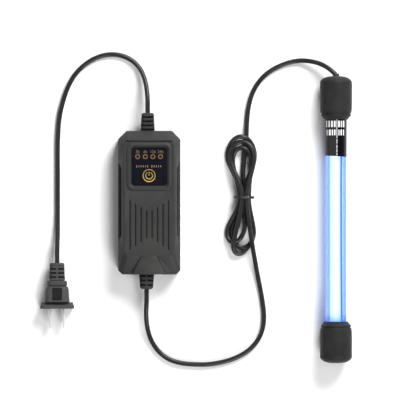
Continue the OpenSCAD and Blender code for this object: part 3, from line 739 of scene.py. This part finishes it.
def add_tie():
    """A black twist tie: two strands round the waist, twisted together at the right."""
    wire_r, twist_r = 0.7, 0.62
    half_x, half_z = 7.9, half_size("hank_tie")[2] - 0.75
    centre = Vector((89.9, TIE_Y, middle("hank_tie")[2]))
    parts = []
    for side in (-1, 1):
        loop = [centre + Vector((x, side * twist_r, z)) for x, z in rounded(half_x, half_z, 5, 8)]
        parts.append(tube("strand", loop, wire_r, 10, closed=True))
    knot = centre + Vector((half_x - 0.5, 0, 2.2))
    turn, steps = 0.45, 28
    for phase in (0, math.pi):
        twist = []
        for k in range(steps):
            a = phase + k * turn
            y, z = wire_r * math.cos(a), wire_r * math.sin(a)
            twist.append(knot + Vector((0.065 * k, y, z + 0.03 * k)))
        parts.append(tube("twist", twist, twist_r, 10))
    stub = [centre + Vector((-half_x + 0.2 - 0.25 * k, 0.1 * k, 1 + 0.12 * k)) for k in range(9)]
    parts.append(tube("stub", stub, wire_r, 10))
    return dress(smooth(join("twist_tie", parts), 60), "tie_plastic", TIE, "hank_tie")


TWIST_TIE = add_tie()

# ---- strain reliefs ----

WALL = 2


def ribbed(start, along, half_widths, half_depth, length, slots, corner, spine, tip):
    """A tapered relief with rows of slots across its two faces, left and right of a spine.

    start is the middle of its wide end, along is +1 or -1 along Y, slots holds the place of the
    first row, the distance between rows and the width of a row, and tip is the radius of its end.
    """
    first, pitch, slot_l = slots
    depth, rim, slope, wall_run = 2.6, 0.35, 0.3, 0.25
    plain_end, step = 2.4, 0.2
    rows = int(length / step)
    rings = []
    for i in range(rows + 1):
        y = length * i / rows
        half_w = half_widths[0] + (half_widths[1] - half_widths[0]) * i / rows
        left = max(0, tip - (length - y))
        half_w -= tip - math.sqrt(tip ** 2 - left ** 2)
        half_d = half_depth * half_w / half_widths[0]
        off = abs((y - first + pitch / 2) % pitch - pitch / 2)
        cut_here = first - slot_l < y < length - plain_end
        row = min(1, max(0, (slot_l / 2 - off) / wall_run)) if cut_here else 0
        ring = []
        for x, z in rounded(half_w, half_d, min(corner, half_w - 0.5, half_d - 0.5), 8, 20):
            room = min((abs(x) - spine / 2) / slope, (half_w - rim - abs(x)) / slope, 1)
            cut = min(depth * row * max(0, room), abs(z))
            ring.append((start[0] + x, start[1] + along * y, start[2] + z - math.copysign(cut, z)))
        rings.append(ring)
    return smooth(skin("ribs", rings), 50)


def relief_inside(centre, along):
    """The collar that the two case halves grip, and the neck in the wall."""
    x, y, z = centre
    core_r, collar_r, neck_r = 0.01, 6.3, 5.15
    profile = ((core_r, -WALL - 2.3), (collar_r, -WALL - 2.3), (collar_r, -WALL - 0.1), (neck_r, -WALL),
               (neck_r, 0.2), (core_r, 0.2))
    return skin("relief_inside", lathe([(r, y + along * v) for r, v in profile], (x, z), 48))


def add_relief(node):
    """One of the two moulded reliefs on the control box."""
    low, high = box_mm(node)
    case_low, case_high = box_mm("case_base")
    x, _, z = middle(node)
    mains = node == "mains_strain_relief"
    along = 1 if mains else -1
    wall_y = case_high[1] if mains else case_low[1]
    length = abs((high[1] if mains else low[1]) - wall_y)
    half = half_size(node)[0]
    slots, spine = ((1.2, 3.9, 1.7), 0) if mains else ((1.2, 4.4, 1.9), 1.7)
    outer = ribbed((x, wall_y + along * 0.05, z), along, (half, half * 0.86), half,
                   length - 0.05, slots, half * 0.6, spine, 1.4 if mains else 2.4)
    inner = relief_inside((x, wall_y, z), along)
    return dress(smooth(join(node + "_moulding", [outer, inner]), 50), "relief_rubber", RELIEF_RUBBER, node)


add_relief("mains_strain_relief")
add_relief("lamp_strain_relief")

# ---- plug ----

# Sections down the plug's moulding: place below its top, half width, half depth, corner radius
PLUG_SECTIONS = [
    (16.3, 6.7, 4.4, 3.5), (16.9, 6.7, 4.4, 3.5), (17, 8.9, 6.4, 4.5), (17.4, 9.3, 6.8, 5),
    (21.2, 9.6, 7.1, 5), (21.5, 9.4, 6.8, 5), (21.6, 8.6, 5.4, 4), (22.1, 8.6, 5.4, 4),
    (22.3, 9.6, 6.6, 5), (23.2, 10.5, 7.2, 5), (25.6, 11, 7.8, 5), (36.9, 11.6, 8.1, 5),
    (37.2, 11.6, 7.9, 5), (37.4, 11.6, 4.8, 4), (37.6, 15, 4.8, 4), (39.5, 15.5, 4.8, 4),
    (40.1, 15.8, 8.4, 4), (40.5, 16, 8.8, 4), (42.9, 16.2, 9, 4), (43.5, 16, 8.7, 4),
]


def add_plug():
    """The moulded plug: ribbed relief, collar, body with a recess on both faces, and flange."""
    x, _, z = middle("plug_body")
    top = box_mm("plug_body")[1][1]
    relief_l, recess_y, recess_depth = 16.6, top - 29.65, 6.9
    relief = ribbed((x, top - relief_l, z), 1, (7.5, 6.9), 5.6, relief_l,
                    (3, 3.9, 1.7), 4, 1.8, 1.6)
    rings = []
    for down, half_w, half_d, corner in PLUG_SECTIONS:
        rings.append([(a, top - down, b) for a, b in rounded(half_w, half_d, corner, 8, centre=(x, z))])
    body = soften(skin("plug_core", rings), 0.3, 2, 30)
    insets = []
    for face in (-1, 1):
        foot = z + face * recess_depth
        outline = rounded(4.6, 5.95, 0.9, centre=(x, recess_y))
        boolean(body, prism("recess", outline, *sorted((foot + face * 3, foot))))
        outline = rounded(4.45, 5.8, 0.8, centre=(x, recess_y))
        insets.append(prism("inset", outline, *sorted((foot - face * 0.4, foot + face * 0.1))))
    inset = dress(join("plug_inset", insets), "plug_pvc", PLUG_INSET)
    moulding = dress(smooth(join("plug_moulding", [relief, body]), 40), "plug_pvc", PLUG_PVC, "plug_body")
    return moulding, inset


def add_blades():
    """Two flat blades with chamfered tips and a hole near the tip."""
    low, high = box_mm("plug_blades")
    x, _, z = middle("plug_blades")
    half_t, half_w = 0.75, half_size("plug_blades")[2]
    pitch, tip, half_tip = 12.7, 1.4, 0.35
    hole_r, hole_y = 1.5, low[1] + 5
    blades = []
    for side in (-1, 1):
        cx = x + side * pitch / 2
        points = [(cx + a, y, z + b) for a in (-half_t, half_t) for b in (-half_w, half_w)
                  for y in (high[1] + 0.1, low[1] + tip)]
        points += [(cx + a, low[1], z + b) for a in (-half_tip, half_tip)
                   for b in (-half_w + tip, half_w - tip)]
        blade = hull_object("blade", points)
        boolean(blade, tube("hole", [(cx + a, hole_y, z) for a in (-2, 2)], hole_r, 32))
        blades.append(soften(blade, 0.12, 2, 30))
    return dress(smooth(join("blades", blades), 35), "blade_metal", BLADE, "plug_blades")


PLUG, INSET = add_plug()
BLADES = add_blades()

# ---- control box ----

LEAN_SIDE, LEAN_MAINS, LEAN_LAMP = 5.5, 8.5, 17
CORNER_MAINS, CORNER_LAMP, CORNER_FRONT = 8, 4, 3.5
GRIP_DEEP, GRIP_L, GRIP_Y = 3.2, 64, 1
# Grooves on each side of the middle: count, pitch, the first one's ends, and the next one's shift
GROOVES, GROOVE_PITCH = 4, 5.2
GROOVE_FOOT, GROOVE_TOP = (-33.6, -3.7), (-7.6, 3.2)
FOOT_CHAMFER = 1.4
WELL_R, WELL_DEEP, SCREW_HEAD_R = 2.9, 0.5, 2.7
NECK_HOLE_R = 5.3
HALF_W, HALF_L, SPLIT_Z = box_mm("case_base")[1]
FRONT_Z = box_mm("case_top")[1][2]
UPRIGHT_Z = SPLIT_Z + 6.5
LEDGE_Z = UPRIGHT_Z + 0.6


def cut_corners(half_w, top, bottom, top_cut, bottom_cut):
    """A rectangle's plan with its corners cut off."""
    half = [(half_w - top_cut, top), (half_w, top - top_cut), (half_w, bottom + bottom_cut),
            (half_w - bottom_cut, bottom)]
    return half + [(-x, y) for x, y in reversed(half)]


def case_plan(inset=0):
    """The case's outline at its split."""
    return cut_corners(HALF_W - inset, HALF_L - inset, inset - HALF_L,
                       CORNER_MAINS - inset / 2, CORNER_LAMP - inset / 2)


def front_plan(inset=0):
    """The outline of the lid's flat front."""
    return cut_corners(HALF_W - LEAN_SIDE - inset, HALF_L - LEAN_MAINS - inset, LEAN_LAMP + inset - HALF_L,
                       CORNER_FRONT, CORNER_FRONT)


def lid_form(inset=0):
    """The lid's outer form drawn in by inset, with the hood over the lamp cord's exit."""
    points = [(x, y, z) for x, y in case_plan(inset) for z in (SPLIT_Z, UPRIGHT_Z)]
    form = hull_object("lid_form", points + [(x, y, FRONT_Z - inset) for x, y in front_plan(inset)])
    end, start = -HALF_L + inset, -HALF_L + 18.6
    section = ((16.8, end, SPLIT_Z), (15.4, end, FRONT_Z - 6 - inset), (7.2, start, FRONT_Z - inset),
               (16.8, start, SPLIT_Z))
    hood = [(side * (half - inset), y, z) for side in (-1, 1) for half, y, z in section]
    return boolean(form, hull_object("hood", hood), "UNION")


def grip_cut(side, shift=0):
    """The space of one finger grip, with slanting ends."""
    foot, mouth = HALF_W - GRIP_DEEP - shift, HALF_W + 1
    half, slant = GRIP_L / 2 + shift, 1.8
    edges = ((foot, half), (mouth, half + slant * (mouth - foot)))
    plan = [(side * x, GRIP_Y + end * y) for x, y in edges for end in (-1, 1)]
    return prism("grip", plan, SPLIT_Z - 1 if shift else LEDGE_Z, FRONT_Z + 3)


def groove(x, bottom, top):
    """The space of one groove: sloping walls and round ends."""
    points = []
    # Half width and height at its floor, at the lid's front and above it
    for half_w, z in ((0.3, FRONT_Z - 1.5), (0.72, FRONT_Z), (0.84, FRONT_Z + 0.4)):
        half_l = (top - bottom) / 2 - 0.6 + half_w
        plan = rounded(half_w, half_l, half_w * 0.98, 5, centre=(x, (top + bottom) / 2))
        points += [(a, b, z) for a, b in plan]
    return hull_object("groove", points)


def crease(side):
    """The space of a crease along one edge of the hood."""
    ends = ((7.6, -HALF_L + 17.6, FRONT_Z), (16.1, -HALF_L - 0.5, UPRIGHT_Z))
    across = ((-0.55, 0.9), (0.55, 0.9), (0, -0.8))
    return hull_object("crease", [(side * (x + a), y, z + b) for x, y, z in ends for a, b in across])


def grip_seam():
    """The space of the fine seam along the foot of the right grip's inner wall."""
    foot, half = HALF_W - GRIP_DEEP, GRIP_L / 2
    plan = [(foot + x, GRIP_Y + y) for x in (-0.1, 0.6) for y in (-half, half)]
    return prism("grip_seam", plan, LEDGE_Z - 0.6, LEDGE_Z + 1)


def exit_hole(node, y):
    """The bore in the end wall at y for a strain relief's neck."""
    x, _, z = middle(node)
    return tube("exit", [(x, y - 4, z), (x, y + 4, z)], NECK_HOLE_R, 64)


PANEL_LOW, PANEL_HIGH = box_mm("control_panel")
PANEL_HALF_W, PANEL_HALF_L, _ = half_size("control_panel")
PANEL_Y = middle("control_panel")[1]


def window_space(name, *sections):
    """A convex space round the window, from how far it stands out, its corner radius and its height."""
    points = []
    for out, corner, z in sections:
        plan = rounded(PANEL_HALF_W + out, PANEL_HALF_L + out, corner, centre=(0, PANEL_Y))
        points += [(x, y, z) for x, y in plan]
    return hull_object(name, points)


def add_case_top():
    """The lid: sloped faces, finger grips, a bevelled window and a chevron of grooves."""
    lid = soften(lid_form(), 0.7, 3, 8, 35)
    hollow = lid_form(WALL)
    for side in (-1, 1):
        boolean(hollow, grip_cut(side, WALL))
    frame_box = [(x, y + PANEL_Y) for x in (-20, 20) for y in (-21.5, 21.5)]
    boolean(hollow, prism("frame", frame_box, PANEL_LOW[2] - 2, FRONT_Z + 2))
    boolean(lid, hollow)
    # A low raised frame in a fine groove, the slope from it down to the panel, and the panel's seat
    boolean(lid, window_space("moat", (5.3, 5.9, FRONT_Z - 0.4), (5.3, 5.9, FRONT_Z + 2)))
    frame_sections = ((4.6, 5.2, FRONT_Z - 1), (4.6, 5.2, FRONT_Z), (2.9, 4.2, FRONT_Z + 0.9))
    boolean(lid, window_space("window_frame", *frame_sections), "UNION")
    slope = ((0.15, 3, PANEL_HIGH[2]), (2.3, 3.9, FRONT_Z + 0.91), (2.8, 4.2, FRONT_Z + 1.7))
    window = rounded(PANEL_HALF_W - 2.2, PANEL_HALF_L - 2, 1, centre=(0, PANEL_Y))
    cuts = [window_space("bezel", *slope),
            window_space("seat", (0.15, 3, PANEL_LOW[2]), (0.15, 3, FRONT_Z)),
            prism("window", window, SPLIT_Z, FRONT_Z)]
    for side in (-1, 1):
        cuts += [grip_cut(side), crease(side)]
        for i in range(GROOVES):
            foot, top = GROOVE_FOOT[0] + GROOVE_FOOT[1] * i, GROOVE_TOP[0] + GROOVE_TOP[1] * i
            cuts.append(groove(side * (i + 0.5) * GROOVE_PITCH, foot, top))
    step_y, step_half = HALF_L - LEAN_MAINS - 1.6, HALF_W - LEAN_SIDE - 1.5
    section = ((1.2, FRONT_Z + 0.5), (-1.2, FRONT_Z + 0.5), (-0.4, FRONT_Z - 1.2), (0.5, FRONT_Z - 1.2))
    step = [(x, step_y + y, z) for x in (-step_half, step_half) for y, z in section]
    cuts += [grip_seam(), hull_object("step", step), exit_hole("mains_strain_relief", HALF_L),
             exit_hole("lamp_strain_relief", -HALF_L)]
    for cut in cuts:
        boolean(lid, cut)
    soften(lid, 0.18, 2, 40, 35)
    lid.name = "lid_shell"
    return dress(lid, "case_plastic", CASE, "case_top")


def add_case_base():
    """The tray: upright walls, a chamfered foot, screw wells and a shallow seam under the lid."""
    points = [(x, y, z) for x, y in case_plan() for z in (FOOT_CHAMFER, SPLIT_Z - 0.05)]
    tray = hull_object("tray_shell", points + [(x, y, 0) for x, y in case_plan(FOOT_CHAMFER)])
    boolean(tray, prism("inner", case_plan(WALL), WALL, SPLIT_Z + 1))
    soften(tray, 0.35, 2, 24, 35)
    low, high = box_mm("case_screws")
    for x in (low[0] + SCREW_HEAD_R, high[0] - SCREW_HEAD_R):
        for y in (low[1] + SCREW_HEAD_R, high[1] - SCREW_HEAD_R):
            boolean(tray, tube("well", [(x, y, -1), (x, y, WELL_DEEP)], WELL_R, 40))
    boolean(tray, exit_hole("mains_strain_relief", HALF_L))
    boolean(tray, exit_hole("lamp_strain_relief", -HALF_L))
    soften(tray, 0.12, 2, 45, 35)
    return dress(tray, "case_plastic", CASE, "case_base")


add_case_top()
add_case_base()

# ---- panel prints ----

PRINT_T, PRINT_GAP = 0.06, 0.01
LED_PITCH = 7.2
HOUR_SIZE = 3.915


def polar(centre, radius, degrees):
    """A point at a distance and a direction from centre."""
    a = math.radians(degrees)
    return centre[0] + radius * math.cos(a), centre[1] + radius * math.sin(a)


def flat_ring(centre, outer, inner, z, gap=0):
    """A thin ring or, with a gap in degrees at its top, an open arc with round ends."""
    start, sweep, steps = 90 + gap / 2, 360 - gap, 72
    section = ((inner, 0), (outer, 0), (outer, PRINT_T), (inner, PRINT_T))
    rings = [[(*polar(centre, r, start + sweep * k / steps), z + h) for r, h in section]
             for k in range(steps + bool(gap))]
    parts = [skin("ring", rings, closed=not gap)]
    if gap:
        mid, half = (outer + inner) / 2, (outer - inner) / 2
        for a in (start, start + sweep):
            end = rounded(half, half, half * 0.98, centre=polar(centre, mid, a))
            parts.append(prism("end", end, z, z + PRINT_T))
    return parts


def hour_mark(text, centre, z):
    """A generic hour mark above an indicator."""
    font = bpy.data.curves.new("hour", "FONT")
    font.body = text
    font.align_x = "CENTER"
    font.align_y = "CENTER"
    font.size = HOUR_SIZE * MM
    font.extrude = PRINT_T / 2 * MM
    holder = placed("hour", font)
    mesh = bpy.data.meshes.new_from_object(holder.evaluated_get(bpy.context.evaluated_depsgraph_get()))
    bpy.data.objects.remove(holder)
    for vertex in mesh.vertices:
        vertex.co += Vector((*centre, z + PRINT_T / 2)) * MM
    return placed("hour", mesh)


def add_panel_prints():
    """Gold rings round the indicators, hour marks above them and a row of plain bars below them."""
    led_y, z = middle("light_guide")[1], PANEL_HIGH[2] + PRINT_GAP
    hour_y, bar_y, bar_pitch = led_y + 4.5, led_y - 9.2, 2.1
    parts = []
    for i, hours in enumerate(("3h", "6h", "12h", "24h")):
        x = (i - 1.5) * LED_PITCH
        parts += flat_ring((x, led_y), 2.3, 1.5, z)
        parts.append(hour_mark(hours, (x, hour_y), z))
    for start, marks in ((-11.8, (1.2, 0.9, 0.9, 1, 0.9, 1.2)), (2.6, (1.3, 0.9, 1.1, 0.9, 1))):
        x = start
        for half in marks:
            parts.append(prism("mark", rounded(0.4, half, 0.3, centre=(x, bar_y)), z, z + PRINT_T))
            x += bar_pitch
    return dress(join("panel_print", parts), "pin_brass", GOLD)


def add_button_face():
    """The gold ring and power sign on the button's face."""
    x, y, _ = middle("power_button")
    z = box_mm("power_button")[1][2] + PRINT_GAP
    parts = flat_ring((x, y), 6.15, 5.3, z)
    parts += flat_ring((x, y), 3.65, 2.75, z, gap=60)
    parts.append(prism("power_bar", rounded(0.42, 2, 0.4, centre=(x, y + 1.8)), z, z + PRINT_T))
    return dress(join("button_print", parts), "pin_brass", GOLD, body="power_button")


add_panel_prints()
add_button_face()

# ---- lamp ----

LAMP_X, _, LAMP_Z = middle("quartz_sleeve")
SLEEVE_R = half_size("quartz_sleeve")[0]
CAP_R = half_size("lower_cap")[0]
GLAND_R = 3.1
# From the sleeve's radius outwards, and from the lip inwards: bore, lip and rim
CAP_LIP = ((0.05, 25), (0.05, 2), (0.3, 1.6), (0.3, 0.1), (0.4, 0), (0.9, 0), (1.1, 0.15))
# From the cap's radius inwards, and from the lip: chamfer, bead, the groove behind it, and the side
CAP_SIDE = ((1.5, 3.1), (1, 3.6), (0.75, 4.1), (0.8, 4.6), (1.3, 4.9), (1.4, 5.3), (1.3, 5.7),
            (0.75, 6.1), (0.4, 7.5), (0.1, 10), (0, 14))


def add_cap(name, node, lip, end, hole):
    """A rubber cap, turned from its bore at the lip, round the outside, to the hole in its domed end."""
    way = 1 if end > lip else -1
    dome_r, dome_h, dome_steps = 11.5, 6.2, 16
    profile = [(SLEEVE_R + out, lip + way * deep) for out, deep in CAP_LIP]
    profile += [(CAP_R - inward, lip + way * deep) for inward, deep in CAP_SIDE]
    for k in range(dome_steps + 1):
        a = math.pi / 2 * k / dome_steps
        profile.append((CAP_R - dome_r + dome_r * math.cos(a), end - way * dome_h * (1 - math.sin(a))))
    profile += [(hole + 0.5, end), (hole, end - way * 0.5), (hole, end - way * 3)]
    rings = lathe(profile, (LAMP_X, LAMP_Z), 128)
    return dress(smooth(skin(name, rings), 35), "cap_rubber", CAP_RUBBER, node)


def add_caps():
    """The cap that the cord enters, and the closed one."""
    low, high = box_mm("upper_cap")
    add_cap("cable_end_cap", "upper_cap", low[1], high[1], GLAND_R)
    low, high = box_mm("lower_cap")
    add_cap("foot_cap", "lower_cap", high[1], low[1], 0.01)


def add_gland():
    """The bush in the upper cap, with a soft rolled edge round the cord."""
    low, high = box_mm("cable_gland")
    profile = [(0.01, low[1]), (GLAND_R, low[1])]
    edge = ((GLAND_R, 1.2), (2.95, 0.5), (2.6, 0.1), (2.3, 0), (0.01, 0))
    profile += [(r, high[1] - down) for r, down in edge]
    rings = lathe(profile, (LAMP_X, LAMP_Z), 64)
    return dress(smooth(skin("cord_bush", rings), 40), "relief_rubber", RELIEF_RUBBER, "cable_gland")


def wrap_patch(radius, x0, x1, y0, y1):
    """A thin patch that follows the sleeve, facing up, between x0 and x1 from the axis."""
    a0, a1 = math.asin(x0 / radius), math.asin(x1 / radius)
    top, steps = radius + 0.05, 6
    rings = []
    for k in range(steps + 1):
        a = a0 + (a1 - a0) * k / steps
        rings.append([(LAMP_X + r * math.sin(a), y, LAMP_Z + r * math.cos(a))
                      for r, y in ((radius, y0), (top, y0), (top, y1), (radius, y1))])
    return skin("patch", rings)


def add_label():
    """The black film round the sleeve's cable end, with a printed seam and plain bars for text."""
    low, high = box_mm("label_wrap")
    top, tucked, inner_r, r = high[1], high[1] + 1.2, SLEEVE_R + 0.03, SLEEVE_R + 0.25
    profile = [(inner_r, low[1]), (SLEEVE_R + 0.2, low[1]), (r, low[1] + 0.25), (r, tucked),
               (inner_r, tucked)]
    rings = lathe(profile, (LAMP_X, LAMP_Z), 96)
    # The film's lower edge was trimmed a little askew
    slant, trimmed = 0.6, low[1] + 1
    rings = [[(x, y - slant * (x - LAMP_X) / r if y < trimmed else y, z) for x, y, z in ring]
             for ring in rings]
    film = dress(smooth(skin("film", rings, closed=True), 40), "label_film", LABEL, "label_wrap")
    film.name = "shrink_label"
    parts = [wrap_patch(r, 0.45, 0.95, top - stop, top - start)
             for start, stop in ((-0.8, 17.5), (18.6, 22.8), (24, 27.4), (28.3, 31), (32, 34.2))]
    # Two rows of plain bars: start and stop below the cap, then the bars' left and right edges
    rows = (
        (1.2, 7.2, ((-9.3, -8.5), (-7.3, -5.9), (-4.8, -3.2), (-2.1, -0.6), (2.1, 3.3), (4.4, 5.2),
                    (6.3, 7.7))),
        (9.6, 15, ((-8.9, -8.2), (-6.9, -5.1), (-4.1, -3), (-2, -0.7), (2.3, 3.1), (4.2, 5.4),
                     (6.6, 7.4))),
    )
    for start, stop, bars in rows:
        for left, right in bars:
            parts.append(wrap_patch(r, left, right, top - stop, top - start))
    return dress(join("label_print", parts), "base_ceramic", WHITE_PRINT)


def add_return_wire():
    """The insulated wire beside the tube, slightly bowed."""
    low, high = box_mm("return_wire")
    wire_r, bow = 0.85, 0.7
    x, z = high[0] - wire_r, high[2] - wire_r
    points = [(LAMP_X + 1.2, high[1] - 0.2, LAMP_Z + 0.8), (LAMP_X + 2.6, high[1] - 2, LAMP_Z + 2.6)]
    steps = 24
    top, bottom = high[1] - 5, low[1] + 4
    for k in range(steps + 1):
        t = k / steps
        y = top + (bottom - top) * t
        points.append((x + bow / 2 - bow * math.sin(math.pi * t) * (1 - 0.3 * t), y, z - 0.1))
    points.append((LAMP_X + 2.6, low[1] + 0.6, LAMP_Z + 1.7))
    wire = tube("return_lead", relaxed(spline_points(points), 4), wire_r, 16)
    return dress(wire, "blue_insulation", WIRE_PAINTED_GLOW, "return_wire")


add_caps()
add_gland()
add_label()
add_return_wire()

# ---- the CAD nodes that show ----

for part in frame["record"]["subparts"]:
    node = frame["nodes"][part["node"]]
    if node.hide_render:
        continue
    node.data.materials.clear()
    node.data.materials.append(SLOT_FINISH[part["material_slot"]])
